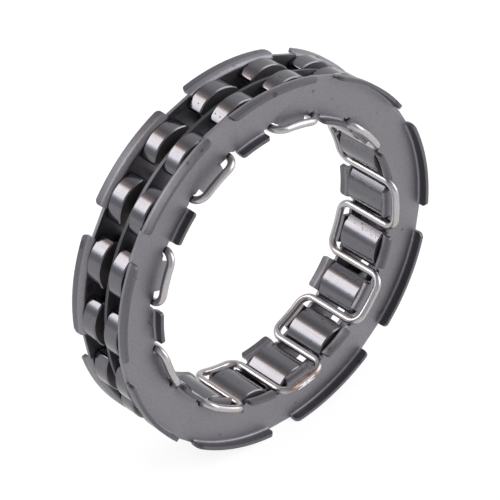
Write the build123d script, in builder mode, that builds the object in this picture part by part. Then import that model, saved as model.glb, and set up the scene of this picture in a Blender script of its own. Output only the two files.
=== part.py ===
from build123d import *
import os
from math import atan2, cos, degrees, radians, sin, sqrt

# Sprag clutch insert, in millimetres. The axis of the ring is Y, the front faces -Y and +Z is up.
# Angles are counted about the axis from +X, anticlockwise as seen from the front.

# The two races that the clutch runs between
inner_race_radius = 23.38
race_space = 8.33

# Sprags
sprag_count = 18
sprag_length = 7.9
free_lift = 0.05  # a free sprag stands this much taller than the race space
inner_cam_radius = 4.5
outer_cam_radius = 5.2
cam_offset = 0.25  # of each cam's centre from the radial centre line, the foot's clockwise
head_lead = 3.85  # from the centre line to the head's corner, on the side that faces clockwise
head_trail = 4.35
foot_lead = 3.45
foot_trail = 2.85
waist_half_width = 2.05
waist_height = 3.8  # above the inner race
head_corner_radius = 0.5
foot_corner_radius = 0.35
waist_corner_radius = 1.6
slot_width = 2.16
slot_floor_height = 3.6  # above the inner race
edge_break = 0.18

# Side plates, pressed from sheet
sheet = 0.6
end_clearance = 0.1  # between a sprag's end and the plate
bend_radius = 0.35  # inside the bends of the tabs
outer_tab_height = 1.65  # free edge of the tabs beyond the outer face of the plate
inner_tab_height = 1.5
outer_tab_corner_radius = 0.8
inner_tab_corner_radius = 0.5
tab_pairs = 9  # outer tabs on a plate, and inner tabs
outer_tab_angle = 31.0
outer_tab_proud = 0.09  # outer face of the outer tabs beyond the outer race
inner_tab_angle = 13.2
inner_clearance = 0.58  # between the inner race and the inner tabs
tongue_clearance = 0.2  # between the inner race and the tongues under the loops
tongue_angle = 11.2
land_drop = 0.2  # corner of a plain stretch of the rim inside the outer race
web_margin = 1.72  # between the inner race and the plain inner edge

# Centre ring, which runs in the slots of the sprags
ring_sheet = 0.6
ring_side_clearance = 0.08  # to the front wall of the slots
ring_rim_drop = 0.8  # of its outer edge below the outer race
ring_floor_clearance = 0.6  # from its inner edge to the floor of the slots

# Zigzag spring of round wire
wire_diameter = 1.25
wire_margin = 1.22  # from the inner race to the centre of the loops
wire_bend_radius = 2.0
loop_reach = 1.48  # centre of the loops beyond the outer face of the plate
wire_clearance = 0.3  # in the notches of the side plates

# Worked out from the sizes above
outer_race_radius = inner_race_radius + race_space
pitch_angle = 360 / sprag_count
tab_pitch = 360 / tab_pairs
plate_back = sprag_length / 2 + end_clearance
plate_face = plate_back + sheet
wire_radius = wire_diameter / 2
loop_radius = inner_race_radius + wire_margin
run_radius = sqrt(loop_radius**2 + wire_bend_radius**2)
loop_height = plate_face + loop_reach
slot_floor = inner_race_radius + slot_floor_height


def polar(radius, angle):
    return (radius * cos(radians(angle)), radius * sin(radians(angle)))


def on_ring(radius, angle, height):
    across, up = polar(radius, angle)
    return Vector(across, height, up)


def radial_plane(angle):
    """Half plane through the axis of a plate, with X outward and Y along the axis."""
    across, up = polar(1, angle)
    return Plane(origin=(0, 0, 0), x_dir=(across, up, 0), z_dir=(up, -across, 0))


def inner_land(end, angle):
    """Piece of the sheet that reaches in from the web to the radius end."""
    with BuildSketch() as land:
        with BuildLine():
            end_arc = CenterArc((0, 0), end, -angle / 2, angle)
            web_arc = CenterArc((0, 0), inner_edge + overlap, -angle / 2, angle)
            Line(end_arc @ 0, web_arc @ 0)
            Line(end_arc @ 1, web_arc @ 1)
        make_face()
    return land.sketch


def tab_section(root, outward, height):
    """Section of a bent tab: root is where the flat sheet ends, outward is +1 or -1."""
    outside_bend = bend_radius + sheet
    free_edge = sheet + height
    with BuildLine() as outline:
        outside = Line((root + outward * outside_bend, outside_bend), (root + outward * outside_bend, free_edge))
        inside = Line((root + outward * bend_radius, outside_bend), (root + outward * bend_radius, free_edge))
        Line(outside @ 1, inside @ 1)
        corner = sin(radians(45))
        bend = (root, outside_bend)
        outer_mid = (bend[0] + outward * outside_bend * corner, bend[1] - outside_bend * corner)
        inner_mid = (bend[0] + outward * bend_radius * corner, bend[1] - bend_radius * corner)
        outer_bend = ThreePointArc((root, 0), outer_mid, outside @ 0)
        inner_bend = ThreePointArc((root, sheet), inner_mid, inside @ 0)
        Line(outer_bend @ 0, inner_bend @ 0)
    return outline


# Side plate, laid on its back face, with its tabs standing up. Its inner edge has a bent tab
# at every other sprag, and a flat tongue under the spring's loop at those between.
outer_tab_root = outer_race_radius + outer_tab_proud - sheet - bend_radius
tongue_end = inner_race_radius + tongue_clearance
inner_tab_root = inner_race_radius + inner_clearance + sheet + bend_radius
inner_edge = inner_race_radius + web_margin
land_corner = outer_race_radius - land_drop
land_angle = tab_pitch - outer_tab_angle
overlap = 1.0  # of the rim's plain stretches, the inner tabs' necks and the tongues into the web
outer_tabs = [tab_pitch / 4 + tab_pitch * k for k in range(tab_pairs)]
inner_tabs = [tab_pitch / 2 + tab_pitch * k for k in range(tab_pairs)]

neck = inner_land(inner_tab_root, inner_tab_angle)
tongue = inner_land(tongue_end, tongue_angle)
with BuildPart() as pressing:
    with BuildSketch():
        Circle(outer_tab_root)
        with PolarLocations(0, tab_pairs, start_angle=outer_tabs[0] + tab_pitch / 2):
            near = polar(outer_tab_root - overlap, land_angle / 2)
            far = polar(land_corner, land_angle / 2)
            Polygon(near, far, (far[0], -far[1]), (near[0], -near[1]), align=None)
        Circle(inner_edge, mode=Mode.SUBTRACT)
        with PolarLocations(0, tab_pairs, start_angle=inner_tabs[0]):
            add(neck)
        with PolarLocations(0, tab_pairs, start_angle=inner_tabs[0] + tab_pitch / 2):
            add(tongue)
        with PolarLocations(run_radius, sprag_count, start_angle=pitch_angle / 2):
            Circle(wire_radius + wire_clearance, mode=Mode.SUBTRACT)
    extrude(amount=sheet)
    with BuildSketch(*[radial_plane(angle - outer_tab_angle / 2) for angle in outer_tabs]):
        make_face(tab_section(outer_tab_root, 1, outer_tab_height).edges())
    revolve(axis=Axis.Z, revolution_arc=outer_tab_angle)
    corners = pressing.edges(Select.LAST).filter_by(GeomType.LINE).group_by(Axis.Z)[-1]
    fillet(corners, radius=outer_tab_corner_radius)
    with BuildSketch(*[radial_plane(angle - inner_tab_angle / 2) for angle in inner_tabs]):
        make_face(tab_section(inner_tab_root, -1, inner_tab_height).edges())
    revolve(axis=Axis.Z, revolution_arc=inner_tab_angle)
    corners = pressing.edges(Select.LAST).filter_by(GeomType.LINE).group_by(Axis.Z)[-1]
    fillet(corners, radius=inner_tab_corner_radius)

# The rear plate is the front one turned over about the middle of an outer tab, so that the
# outer tabs of the two line up and their inner tabs alternate.
front_seat = Plane(origin=(0, -plate_back, 0), x_dir=(1, 0, 0), z_dir=(0, -1, 0))
rear_seat = Plane(origin=(0, plate_back, 0), x_dir=on_ring(1, 2 * outer_tabs[0], 0), z_dir=(0, 1, 0))

os.makedirs("parts", exist_ok=True)
for name, seat in (("front_plate", front_seat), ("rear_plate", rear_seat)):
    with BuildPart() as plate:
        with Locations(seat):
            add(pressing.part)
    plate.part.label = name
    export_step(plate.part, f"parts/{name}.step")

# Centre ring
ring_outer = outer_race_radius - ring_rim_drop
ring_inner = slot_floor + ring_floor_clearance
with BuildPart() as center_ring:
    with BuildSketch(Plane.XZ.offset(slot_width / 2 - ring_side_clearance - ring_sheet)):
        Circle(ring_outer)
        Circle(ring_inner, mode=Mode.SUBTRACT)
    extrude(amount=ring_sheet)
center_ring.part.label = "center_ring"
export_step(center_ring.part, "parts/center_ring.step")

# Zigzag spring: straight runs between the sprags, joined by loops that pass round the inner
# edge of the front plate and of the rear plate in turn.
bend_angle = degrees(atan2(wire_bend_radius, loop_radius))
straight = loop_height - wire_bend_radius


def spring_loop(first_run, side):
    """One loop from the run at first_run to the next, side is -1 at the front and +1 at the rear."""
    second_run = first_run + pitch_angle
    start = first_run + bend_angle
    end = second_run - bend_angle
    corner = sin(radians(45))
    for run, turn, along in ((first_run, start, -1), (second_run, end, 1)):
        tangent = on_ring(1, turn + 90, 0)
        center = on_ring(loop_radius, turn, side * straight)
        middle = center + tangent * (along * wire_bend_radius * corner)
        middle = middle + Vector(0, side * wire_bend_radius * corner, 0)
        ThreePointArc(on_ring(run_radius, run, side * straight), middle, on_ring(loop_radius, turn, side * loop_height))
    top = side * loop_height
    ThreePointArc(
        on_ring(loop_radius, start, top),
        on_ring(loop_radius, (start + end) / 2, top),
        on_ring(loop_radius, end, top),
    )
    Line(on_ring(run_radius, second_run, side * straight), on_ring(run_radius, second_run, -side * straight))


with BuildPart() as zigzag_spring:
    with BuildLine() as route:
        for k in range(sprag_count):
            spring_loop(pitch_angle * (k - 0.5), 1 if k % 2 else -1)
    with BuildSketch(Plane(origin=on_ring(run_radius, -pitch_angle / 2, 0), z_dir=(0, -1, 0))):
        Circle(wire_radius)
    sweep(path=route.wire())
zigzag_spring.part.label = "zigzag_spring"
export_step(zigzag_spring.part, "parts/zigzag_spring.step")

# Sprags
crest = outer_race_radius + free_lift
inner_cam_center = (cam_offset, inner_race_radius + inner_cam_radius)
outer_cam_center = (-cam_offset, crest - outer_cam_radius)
waist = inner_race_radius + waist_height


def on_outer_cam(across):
    return (across, outer_cam_center[1] + sqrt(outer_cam_radius**2 - (across + cam_offset) ** 2))


def on_inner_cam(across):
    return (across, inner_cam_center[1] - sqrt(inner_cam_radius**2 - (across - cam_offset) ** 2))


# One sprag, with X clockwise, Y outward from the axis and Z towards the front
with BuildPart() as blank:
    with BuildSketch() as profile:
        with BuildLine():
            head = ThreePointArc(on_outer_cam(-head_trail), on_outer_cam(-cam_offset), on_outer_cam(head_lead))
            foot = ThreePointArc(on_inner_cam(-foot_trail), on_inner_cam(cam_offset), on_inner_cam(foot_lead))
            Polyline(head @ 1, (waist_half_width, waist), foot @ 1)
            Polyline(head @ 0, (-waist_half_width, waist), foot @ 0)
        make_face()
        corners = profile.vertices().sort_by(Axis.Y)
        fillet(corners[2:4], radius=waist_corner_radius)
        fillet(profile.vertices().sort_by(Axis.Y)[:2], radius=foot_corner_radius)
        fillet(profile.vertices().sort_by(Axis.Y)[-2:], radius=head_corner_radius)
    extrude(amount=sprag_length / 2, both=True)
    with BuildSketch():
        with Locations((0, slot_floor)):
            Rectangle(2 * (head_lead + head_trail), race_space, align=(Align.CENTER, Align.MIN))
    extrude(amount=slot_width / 2, both=True, mode=Mode.SUBTRACT)
    across_axis = blank.faces().filter_by(Axis.Z).sort_by(Axis.Z)
    ends = across_axis[0].edges() + across_axis[-1].edges()
    slot_rims = across_axis[1:-1].edges().filter_by(lambda edge: edge.center().Y > slot_floor + edge_break)
    chamfer(ends + slot_rims, length=edge_break)

for k in range(sprag_count):
    outward = on_ring(1, pitch_angle * k, 0)
    towards_front = Vector(0, -1, 0)
    seat = Plane(origin=(0, 0, 0), x_dir=outward.cross(towards_front), z_dir=towards_front)
    with BuildPart() as sprag:
        with Locations(seat):
            add(blank.part)
    name = f"sprag_{k + 1:02d}"
    sprag.part.label = name
    export_step(sprag.part, f"parts/{name}.step")
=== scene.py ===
from math import cos, pi, radians, sin

import bmesh
import bpy
from mathutils import Matrix, Vector


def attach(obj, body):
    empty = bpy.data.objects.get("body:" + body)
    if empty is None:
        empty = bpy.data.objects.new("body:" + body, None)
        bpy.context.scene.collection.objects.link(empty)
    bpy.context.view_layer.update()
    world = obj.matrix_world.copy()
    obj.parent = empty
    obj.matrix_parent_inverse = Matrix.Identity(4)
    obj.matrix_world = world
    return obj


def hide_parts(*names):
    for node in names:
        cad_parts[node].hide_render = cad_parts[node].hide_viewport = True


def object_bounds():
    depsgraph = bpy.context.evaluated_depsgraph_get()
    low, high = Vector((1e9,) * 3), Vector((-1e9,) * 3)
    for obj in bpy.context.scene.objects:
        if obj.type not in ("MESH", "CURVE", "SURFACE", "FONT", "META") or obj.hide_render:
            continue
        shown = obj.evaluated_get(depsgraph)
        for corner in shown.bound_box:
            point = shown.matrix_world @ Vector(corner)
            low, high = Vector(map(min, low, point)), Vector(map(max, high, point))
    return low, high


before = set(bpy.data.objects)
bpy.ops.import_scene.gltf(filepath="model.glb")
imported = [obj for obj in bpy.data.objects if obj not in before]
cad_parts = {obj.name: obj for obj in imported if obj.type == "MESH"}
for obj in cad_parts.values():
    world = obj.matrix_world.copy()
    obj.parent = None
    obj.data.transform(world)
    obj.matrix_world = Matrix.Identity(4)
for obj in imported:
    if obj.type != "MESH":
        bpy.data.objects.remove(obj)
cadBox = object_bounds()
mm = 0.001

# Camera

view = {
    "azimuth": -40.50,
    "elevation": 34.13,
    "roll": -1.81,
    "distance": 489.9 * mm,
    "ringRight": 0.836 * mm,  # how far the ring's centre sits right of the middle of the frame
    "ringUp": -0.134 * mm,
    "lens": 224.6,
    "nearest": 10 * mm,
    "farthest": 20.0,
}

turn, rise, roll = (radians(view[key]) for key in ("azimuth", "elevation", "roll"))
back = Vector((sin(turn) * cos(rise), -cos(turn) * cos(rise), sin(rise)))
level = Vector((cos(turn), sin(turn), 0))
right = cos(roll) * level + sin(roll) * back.cross(level)
up = back.cross(right)
cameraData = bpy.data.cameras.new("camera")
cameraData.lens = view["lens"]
cameraData.clip_start = view["nearest"]
cameraData.clip_end = view["farthest"]
camera = bpy.data.objects.new("camera", cameraData)
place = Matrix((right, up, back)).transposed().to_4x4()
place.translation = back * view["distance"] - right * view["ringRight"] - up * view["ringUp"]
camera.matrix_world = place
bpy.context.scene.collection.objects.link(camera)
bpy.context.scene.camera = camera
print("camera placed")

# Short ways to add shader nodes


def newMaterial(name):
    material = bpy.data.materials.new(name)
    material.use_nodes = True
    material.node_tree.nodes.clear()
    return material, material.node_tree


def addNode(tree, kind, inputs=None, **settings):
    node = tree.nodes.new(kind)
    for key, value in settings.items():
        setattr(node, key, value)
    for key, value in (inputs or {}).items():
        if isinstance(value, bpy.types.NodeSocket):
            tree.links.new(value, node.inputs[key])
        else:
            node.inputs[key].default_value = value
    return node


def calculate(tree, operation, first, second=0.0):
    return addNode(tree, "ShaderNodeMath", {0: first, 1: second}, operation=operation).outputs[0]


def product(tree, first, *others):
    for other in others:
        first = calculate(tree, "MULTIPLY", first, other)
    return first


def ramp(tree, value, low, high, toLow=0.0, toHigh=1.0):
    inputs = {0: value, 1: low, 2: high, 3: toLow, 4: toHigh}
    return addNode(tree, "ShaderNodeMapRange", inputs, interpolation_type="SMOOTHSTEP").outputs[0]


def vary(tree, value, tones, margin=0.3):  # a noise stretched between two tones, cut off at both ends
    return ramp(tree, value, margin, 1 - margin, *tones)


def mixColor(tree, factor, first, second, blend="MIX"):
    inputs = {0: factor, 6: first, 7: second}
    return addNode(tree, "ShaderNodeMix", inputs, data_type="RGBA", blend_type=blend).outputs[2]


def noise(tree, coords, scale, detail=3.0):
    inputs = {"Vector": coords, "Scale": scale, "Detail": detail, "Roughness": 0.5}
    return addNode(tree, "ShaderNodeTexNoise", inputs).outputs[0]


def objectCoords(tree):
    return addNode(tree, "ShaderNodeTexCoord").outputs["Object"]


def mapped(tree, coords, **settings):
    return addNode(tree, "ShaderNodeMapping", {"Vector": coords, **settings}).outputs[0]


def split(tree, vector):
    return addNode(tree, "ShaderNodeSeparateXYZ", {0: vector}).outputs


def shade(color, level=1.0):
    return tuple(channel * level for channel in color) + (1.0,)


# Studio: white floor, a plain room that is lighter at both sides, a softbox with a warm and a cool edge,
# and a fill

studio = {
    "roomTop": 0.52,
    "roomRight": 0.42,  # more on the right-hand side
    "roomLeft": 0.20,  # more on the left-hand side
    "rightRange": (0.05, 0.45),  # the X of a direction, where the right-hand side sets in and is full
    "leftRange": (-0.85, -0.4),  # where the left-hand side is full and ends
    "floorSize": 6.0,
    "floorShade": 0.22,
    "floorGlow": 0.85,
    "cloth": 0.8,
}

softboxes = {  # direction from the ring, distance, width, height, radiance, colour
    "main": ((-0.52, 0.63, 0.575), 1.0, 0.46, 0.46, 5.0, (1.0, 0.975, 0.94)),
    "warm_edge": ((-0.27, 0.63, 0.73), 1.0, 0.46, 0.10, 0.9, (1.0, 0.60, 0.40)),
    "cool_edge": ((-0.705, 0.63, 0.33), 1.0, 0.46, 0.10, 1.2, (0.62, 0.80, 1.0)),
    "fill": ((0.71, -0.56, 0.42), 1.0, 0.85, 0.85, 2.4, (0.97, 0.98, 1.0)),
}


def seenRays(tree):
    path = addNode(tree, "ShaderNodeLightPath")
    seen = calculate(tree, "MAXIMUM", path.outputs["Is Camera Ray"], path.outputs["Is Glossy Ray"])
    return calculate(tree, "MAXIMUM", seen, path.outputs["Is Transmission Ray"])


world = bpy.data.worlds.new("studio")
world.use_nodes = True
tree = world.node_tree
tree.nodes.clear()
towardsRight = split(tree, addNode(tree, "ShaderNodeTexCoord").outputs["Generated"])[0]
roomTop = studio["roomTop"]
rightSide = ramp(tree, towardsRight, *studio["rightRange"], roomTop, roomTop + studio["roomRight"])
leftSide = ramp(tree, towardsRight, *studio["leftRange"], studio["roomLeft"], 0.0)
roomLight = calculate(tree, "ADD", rightSide, leftSide)
sky = addNode(tree, "ShaderNodeBackground", {"Color": (1, 1, 1, 1), "Strength": roomLight})
addNode(tree, "ShaderNodeOutputWorld", {"Surface": sky.outputs[0]})
bpy.context.scene.world = world

floorMaterial, tree = newMaterial("pale_floor")
cloth = addNode(tree, "ShaderNodeBsdfDiffuse", {"Color": shade((1, 1, 1), studio["cloth"])})
lit = addNode(tree, "ShaderNodeBsdfDiffuse", {"Color": shade((1, 1, 1), studio["floorShade"])})
glow = addNode(tree, "ShaderNodeEmission", {"Color": (1, 1, 1, 1), "Strength": studio["floorGlow"]})
bright = addNode(tree, "ShaderNodeAddShader", {0: lit.outputs[0], 1: glow.outputs[0]})
mixed = addNode(tree, "ShaderNodeMixShader", {0: seenRays(tree), 1: cloth.outputs[0], 2: bright.outputs[0]})
addNode(tree, "ShaderNodeOutputMaterial", {"Surface": mixed.outputs[0]})

sheetMesh = bmesh.new()
bmesh.ops.create_grid(sheetMesh, x_segments=1, y_segments=1, size=studio["floorSize"] / 2)
bmesh.ops.translate(sheetMesh, verts=sheetMesh.verts, vec=(0, 0, cadBox[0][2]))
floorMesh = bpy.data.meshes.new("floor")
sheetMesh.to_mesh(floorMesh)
sheetMesh.free()
floorMesh.materials.append(floorMaterial)
floor = bpy.data.objects.new("floor", floorMesh)
bpy.context.scene.collection.objects.link(floor)

for name, (towards, distance, width, height, radiance, color) in softboxes.items():
    towards = Vector(towards).normalized()
    lamp = bpy.data.lights.new(name, "AREA")
    lamp.shape = "RECTANGLE"
    lamp.size, lamp.size_y = width, height
    lamp.energy = pi * radiance * width * height
    lamp.color = color
    softbox = bpy.data.objects.new(name, lamp)
    softbox.matrix_world = (Matrix.Translation(towards * distance)
                            @ towards.to_track_quat("Z", "Y").to_matrix().to_4x4())
    bpy.context.scene.collection.objects.link(softbox)
print("studio lit")

# Side plates: the pressed sheet, with its cut edges rounded as the press leaves them

plate = {
    "color": (0.222, 0.210, 0.234),
    "tabColor": (0.119, 0.115, 0.131),  # the bent tabs are darker and bluer than the rest of the sheet
    "insidePaintedShade": 0.5,  # painted shade: share of either tone kept on the faces towards the sprags, between the plates
    "tabStart": 4.95 * mm,  # from the middle of the ring, along the axis
    "tabEnd": 5.25 * mm,
    "inside": 4.1 * mm,  # half the space between the plates
    "insideBlend": 0.03 * mm,
    "roughness": 0.5,
    "roughnessSpread": 0.03,
    "oilFilm": 0.4,
    "edgeRounding": 0.13 * mm,
    "edgeSegments": 3,
    "flatWithin": 0.5,  # degrees, between faces that are joined before the edges are rounded
    "sharpFrom": 35,  # degrees, between faces whose edge is rounded
    "smoothUpTo": 30,  # degrees, between faces that are shaded as one
    "grain": 2600,
    "grainTones": (0.93, 1.07),
    "grainDepth": 0.006 * mm,
    "cloudSize": 130,
    "cloudTones": (0.96, 1.04),
    "cloudMargin": 0.35,
    "speckSize": 420,
    "speckRange": (0.24, 0.29),
    "speckTones": (0.55, 1.0),
}


def steelShader(tree, color, tone, roughness, bump, bumpHeight, coat=0.0):
    toned = mixColor(tree, 1.0, color, tone, "MULTIPLY")
    relief = addNode(tree, "ShaderNodeBump", {"Strength": 0.5, "Distance": bumpHeight, "Height": bump})
    surface = addNode(tree, "ShaderNodeBsdfPrincipled",
                      {"Base Color": toned, "Metallic": 1.0, "Roughness": roughness,
                       "Normal": relief.outputs[0], "Coat Weight": coat, "Coat Roughness": 0.4})
    addNode(tree, "ShaderNodeOutputMaterial", {"Surface": surface.outputs[0]})


def pressedSteel():
    material, tree = newMaterial("pressed_sheet")
    coords = objectCoords(tree)
    along = calculate(tree, "ABSOLUTE", split(tree, coords)[1])
    grain = noise(tree, coords, plate["grain"], detail=2)
    cloud = noise(tree, coords, plate["cloudSize"])
    specks = noise(tree, coords, plate["speckSize"], detail=1)
    blend = plate["insideBlend"]
    # painted shade: the faces between the plates, towards the sprags, darkened to half
    inside = ramp(tree, along, plate["inside"] - blend, plate["inside"] + blend, plate["insidePaintedShade"], 1.0)
    tone = product(tree, vary(tree, grain, plate["grainTones"]),
                   vary(tree, cloud, plate["cloudTones"], plate["cloudMargin"]), inside,
                   ramp(tree, specks, *plate["speckRange"], *plate["speckTones"]))
    onTab = ramp(tree, along, plate["tabStart"], plate["tabEnd"])
    color = mixColor(tree, onTab, shade(plate["color"]), shade(plate["tabColor"]))
    spread = plate["roughnessSpread"]
    roughness = (plate["roughness"] - spread, plate["roughness"] + spread)
    rough = vary(tree, cloud, roughness, plate["cloudMargin"])
    steelShader(tree, color, tone, rough, grain, plate["grainDepth"], plate["oilFilm"])
    return material


def roundedCopy(node, name):
    copy = bmesh.new()
    copy.from_mesh(node.data)
    bmesh.ops.transform(copy, matrix=node.matrix_world, verts=copy.verts)
    bmesh.ops.remove_doubles(copy, verts=copy.verts, dist=0.001 * mm)
    bmesh.ops.dissolve_limit(copy, angle_limit=radians(plate["flatWithin"]), verts=copy.verts, edges=copy.edges)
    sharpFrom = radians(plate["sharpFrom"])
    sharp = [edge for edge in copy.edges
             if len(edge.link_faces) == 2 and edge.calc_face_angle(0) > sharpFrom]
    bmesh.ops.bevel(copy, geom=sharp, offset=plate["edgeRounding"], offset_type="OFFSET", affect="EDGES",
                    segments=plate["edgeSegments"], profile=0.5, material=-1, clamp_overlap=True)
    mesh = bpy.data.meshes.new(name)
    copy.to_mesh(mesh)
    copy.free()
    mesh.shade_smooth()
    mesh.set_sharp_from_angle(angle=radians(plate["smoothUpTo"]))
    piece = bpy.data.objects.new(name, mesh)
    bpy.context.scene.collection.objects.link(piece)
    return piece


plateSteel = pressedSteel()
for name in ("front_plate", "rear_plate"):
    piece = roundedCopy(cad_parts[name], name + "_pressing")
    piece.data.materials.append(plateSteel)
    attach(piece, "cage")
    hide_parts(name)
print("side plates pressed")

# Center ring: the same sheet, flat

ring = {
    "color": (0.27, 0.265, 0.30),
    "rimPaintedShade": 0.32,  # painted shade: share of that tone on the outer edge, between the sprags' heads
    "rimRadius": 30.82 * mm,
    "rimBlend": 0.05 * mm,
    "roughness": 0.45,
    "grain": 2600,
    "grainTones": (0.94, 1.06),
    "grainDepth": 0.004 * mm,
}


def ringSteel():
    material, tree = newMaterial("ring_sheet")
    coords = objectCoords(tree)
    grain = noise(tree, coords, ring["grain"], detail=2)
    crosswise = mapped(tree, coords, Scale=(1, 0, 1))
    flat = addNode(tree, "ShaderNodeVectorMath", {0: crosswise}, operation="LENGTH")
    rimEnd = ring["rimRadius"] + ring["rimBlend"]
    # painted shade: the outer edge, where it sits between the sprags' heads, darkened to a third
    rim = ramp(tree, flat.outputs["Value"], ring["rimRadius"], rimEnd, 1.0, ring["rimPaintedShade"])
    tone = product(tree, vary(tree, grain, ring["grainTones"]), rim)
    steelShader(tree, shade(ring["color"]), tone, ring["roughness"], grain, ring["grainDepth"])
    return material


# Zigzag spring: drawn wire, welded into a ring at one loop at the front

wire = {
    "color": (0.46, 0.45, 0.475),
    "roughness": 0.31,
    "thickness": 1.25 * mm,
    "grain": 1800,
    "grainTones": (0.95, 1.04),
    "grainDepth": 0.001 * mm,
    "straw": 0.3,  # share of the straw tint where it is strongest
    "strawColor": (0.46, 0.39, 0.33),
    "strawSize": 160,
    "strawMargin": 0.38,
}

seam = {  # the weld, and the tint that its heat left
    "angle": 280,  # degrees about the ring, from its right, anticlockwise as seen from the front
    "loopRadius": 24.6 * mm,
    "loopFront": -6.13 * mm,
    "heat": 0.92,  # share of the tint at the weld
    "heatStart": 0.25,  # share of the reach over which the tint is full
    "heatReach": 5.5 * mm,
    "heatColor": (0.20, 0.115, 0.085),
    "patchSize": 700,
    "patchTones": (0.55, 1.0),
    "patchMargin": 0.35,
    "flatLength": 1.75 * mm,
    "flatWidth": 0.84 * mm,
    "flatThickness": 0.12 * mm,
    "flatGap": 0.1 * mm,
    "flatTilt": 2.0,  # degrees, of each flat away from the other
    "flatLean": 0.1,  # of both, from the front towards the ring's outside
    "flatDepth": 0.035 * mm,  # of the middle of a flat under the wire's surface
    "rounding": 0.05 * mm,
    "segments": 3,
    "color": (0.88, 0.87, 0.90),
    "roughness": 0.3,
    "grain": 2400,
    "grainTones": (0.82, 1.1),
    "grainDepth": 0.02 * mm,
}

weldAngle = radians(seam["angle"])
weldAt = Vector((cos(weldAngle), 0, sin(weldAngle))) * seam["loopRadius"]
weldAt.y = seam["loopFront"]


def wireSteel():
    material, tree = newMaterial("spring_wire")
    coords = objectCoords(tree)
    grain = noise(tree, coords, wire["grain"], detail=2)
    tone = vary(tree, grain, wire["grainTones"])
    fromWeld = addNode(tree, "ShaderNodeVectorMath", {0: coords, 1: tuple(weldAt)}, operation="DISTANCE")
    clouds = noise(tree, coords, wire["strawSize"], detail=2)
    straw = vary(tree, clouds, (0.0, wire["straw"]), wire["strawMargin"])
    heat = ramp(tree, fromWeld.outputs["Value"], seam["heatStart"] * seam["heatReach"], seam["heatReach"],
                seam["heat"], 0.0)
    patches = noise(tree, coords, seam["patchSize"], detail=2)
    patchy = vary(tree, patches, seam["patchTones"], seam["patchMargin"])
    drawn = mixColor(tree, straw, shade(wire["color"]), shade(wire["strawColor"]))
    color = mixColor(tree, product(tree, heat, patchy), drawn, shade(seam["heatColor"]))
    steelShader(tree, color, tone, wire["roughness"], grain, wire["grainDepth"])
    return material


def weldSteel():
    material, tree = newMaterial("ground_weld")
    grain = noise(tree, objectCoords(tree), seam["grain"], detail=2)
    tone = vary(tree, grain, seam["grainTones"])
    steelShader(tree, shade(seam["color"]), tone, seam["roughness"], grain, seam["grainDepth"])
    return material


# Two ground flats that meet at the weld, on the front of the loop
flats = bmesh.new()
for along in (-1, 1):
    flat = bmesh.ops.create_cube(flats, size=1)["verts"]
    bmesh.ops.scale(flats, verts=flat, vec=(seam["flatLength"], seam["flatThickness"], seam["flatWidth"]))
    shift = (along * (seam["flatLength"] + seam["flatGap"]) / 2, 0, 0)
    bmesh.ops.translate(flats, verts=flat, vec=shift)
    bmesh.ops.rotate(flats, verts=flat, matrix=Matrix.Rotation(radians(along * seam["flatTilt"]), 3, "Z"))
bmesh.ops.bevel(flats, geom=flats.edges[:], offset=seam["rounding"], offset_type="OFFSET", affect="EDGES",
                segments=seam["segments"], profile=0.5, material=-1)
across = weldAt.copy()
across.y = 0
across.normalize()
facing = (Vector((0, -1, 0)) + seam["flatLean"] * across).normalized()  # outward normal of the flats
alongWire = Vector((0, 1, 0)).cross(across)
side = facing.cross(alongWire)
turnTo = Matrix((alongWire, -facing, side)).transposed().to_4x4()
turnTo.translation = weldAt + facing * (wire["thickness"] / 2 - seam["flatDepth"])
bmesh.ops.transform(flats, matrix=turnTo, verts=flats.verts)
bmesh.ops.recalc_face_normals(flats, faces=flats.faces)
weldMesh = bpy.data.meshes.new("spring_weld")
flats.to_mesh(weldMesh)
flats.free()
weldMesh.shade_smooth()
weldMesh.materials.append(weldSteel())
weld = bpy.data.objects.new("spring_weld", weldMesh)
bpy.context.scene.collection.objects.link(weld)
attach(weld, "cage")
print("spring welded")

# Sprags: hardened and ground, with a narrow band beside the foot's corner that the wheel left

sprag = {
    "count": 18,
    "shift": (0.11, 0.07, 0.05),  # of the grain from sprag to sprag, so that no two are alike
    "color": (0.145, 0.141, 0.156),
    "roughness": 0.19,
    "sideColor": (0.20, 0.182, 0.188),  # on the ends and in the slot
    "sideRoughness": 0.5,
    "slotFloor": 26.85 * mm,  # from the axis
    "slotHalf": 1.08 * mm,
    "endHalf": 3.9 * mm,
    "wallRange": (0.01 * mm, 0.04 * mm),  # past the slot's half width, over which its walls' finish ends
    "endBlend": 0.04 * mm,
    "slotBlend": 0.1 * mm,
    "footTop": 25.0 * mm,  # from the axis; the foot lies inside this radius
    "footBlend": 0.3 * mm,
    "bandStart": 1.75 * mm,  # from the sprag's centre line, on the side that faces anticlockwise
    "bandBlend": 0.08 * mm,
    "bandWander": 0.12 * mm,  # of its edge to either side
    "waveSize": 600,
    "bandTone": 1.25,
    "bandRoughness": 0.34,
    "lineSize": 5200,  # of the grinding lines
    "lineStretch": 0.03,
    "lineTones": (0.95, 1.05),
    "lineDepth": 0.03,  # as a share of a pit's
    "patchSize": 900,
    "patchTones": (0.97, 1.03),
    "pitSize": 2600,
    "pitRange": (0.22, 0.36),  # distance from a pit's middle over which it ends
    "pitLeast": 0.985,  # share of the cells without a pit, away from the band
    "pitsByBand": 0.7,  # more cells with a pit, beside the band
    "rowMiddle": 0.1 * mm,  # of the row of pits, from the band's edge
    "rowRange": (0.1 * mm, 0.3 * mm),  # from the row's middle, over which it ends
    "pitTone": 0.15,
    "pitDepth": 0.03 * mm,
}


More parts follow.
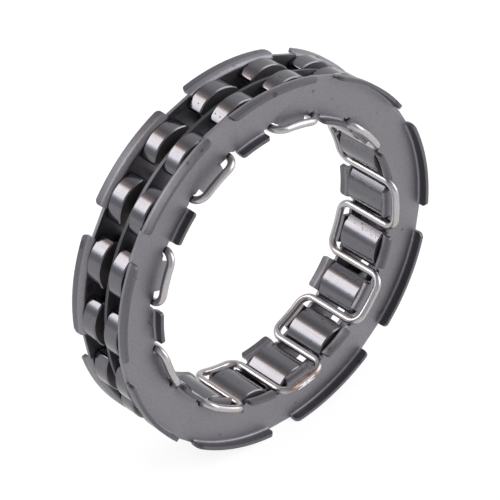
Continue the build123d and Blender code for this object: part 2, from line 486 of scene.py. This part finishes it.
def spragSteel(number):
    material, tree = newMaterial(f"hardened_sprag_{number:02d}")
    angle = 2 * pi * (number - 1) / sprag["count"]
    local = mapped(tree, objectCoords(tree), Rotation=(0, angle, 0))
    outward, along, across = split(tree, local)  # across is anticlockwise
    fromMiddle = calculate(tree, "ABSOLUTE", along)
    shifted = mapped(tree, local, Location=tuple(step * number for step in sprag["shift"]))
    lines = noise(tree, mapped(tree, shifted, Scale=(1, sprag["lineStretch"], 1)), sprag["lineSize"])
    patches = noise(tree, shifted, sprag["patchSize"])

    # The band beside the foot's corner
    waves = noise(tree, mapped(tree, shifted, Scale=(0, 1, 0)), sprag["waveSize"], detail=2)
    wander = vary(tree, waves, (-sprag["bandWander"], sprag["bandWander"]))
    fromBand = calculate(tree, "SUBTRACT", calculate(tree, "SUBTRACT", across, wander), sprag["bandStart"])
    foot = ramp(tree, outward, sprag["footTop"] - sprag["footBlend"], sprag["footTop"], 1.0, 0.0)
    band = product(tree, foot, ramp(tree, fromBand, 0.0, sprag["bandBlend"]))

    # Pits, most of them in a row along the band's edge
    fromRow = calculate(tree, "ABSOLUTE", calculate(tree, "SUBTRACT", fromBand, sprag["rowMiddle"]))
    nearRow = product(tree, foot, ramp(tree, fromRow, *sprag["rowRange"], 1.0, 0.0))
    inputs = {"Vector": shifted, "Scale": sprag["pitSize"], "Randomness": 1.0}
    cells = addNode(tree, "ShaderNodeTexVoronoi", inputs)
    threshold = calculate(tree, "SUBTRACT", sprag["pitLeast"], product(tree, nearRow, sprag["pitsByBand"]))
    chosen = calculate(tree, "GREATER_THAN", split(tree, cells.outputs["Color"])[0], threshold)
    pit = product(tree, ramp(tree, cells.outputs["Distance"], *sprag["pitRange"], 1.0, 0.0), chosen)

    # The ends and the slot's walls, left as they were cut
    inSlot = ramp(tree, outward, sprag["slotFloor"], sprag["slotFloor"] + sprag["slotBlend"])
    wallStart, wallEnd = (sprag["slotHalf"] + past for past in sprag["wallRange"])
    atWall = ramp(tree, fromMiddle, wallStart, wallEnd, 1.0, 0.0)
    atEnd = ramp(tree, fromMiddle, sprag["endHalf"], sprag["endHalf"] + sprag["endBlend"])
    sides = calculate(tree, "ADD", product(tree, inSlot, atWall), atEnd)

    tone = product(tree, vary(tree, lines, sprag["lineTones"]), vary(tree, patches, sprag["patchTones"]),
                   ramp(tree, band, 0.0, 1.0, 1.0, sprag["bandTone"]),
                   ramp(tree, pit, 0.0, 1.0, 1.0, sprag["pitTone"]))
    ground = ramp(tree, band, 0.0, 1.0, sprag["roughness"], sprag["bandRoughness"])
    rough = calculate(tree, "MAXIMUM", ground, product(tree, sides, sprag["sideRoughness"]))
    color = mixColor(tree, sides, shade(sprag["color"]), shade(sprag["sideColor"]))
    relief = calculate(tree, "SUBTRACT", product(tree, lines, sprag["lineDepth"]), pit)
    steelShader(tree, color, tone, rough, relief, sprag["pitDepth"])
    return material


finishes = {"front_plate": plateSteel, "rear_plate": plateSteel, "center_ring": ringSteel(),
            "zigzag_spring": wireSteel()}
for number in range(1, sprag["count"] + 1):
    finishes[f"sprag_{number:02d}"] = spragSteel(number)
for name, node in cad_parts.items():
    for slot in node.material_slots:
        slot.link = "OBJECT"
        slot.material = finishes[name]
print("steels on", len(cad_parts), "pieces")

bpy.context.scene.view_settings.view_transform = "Standard"
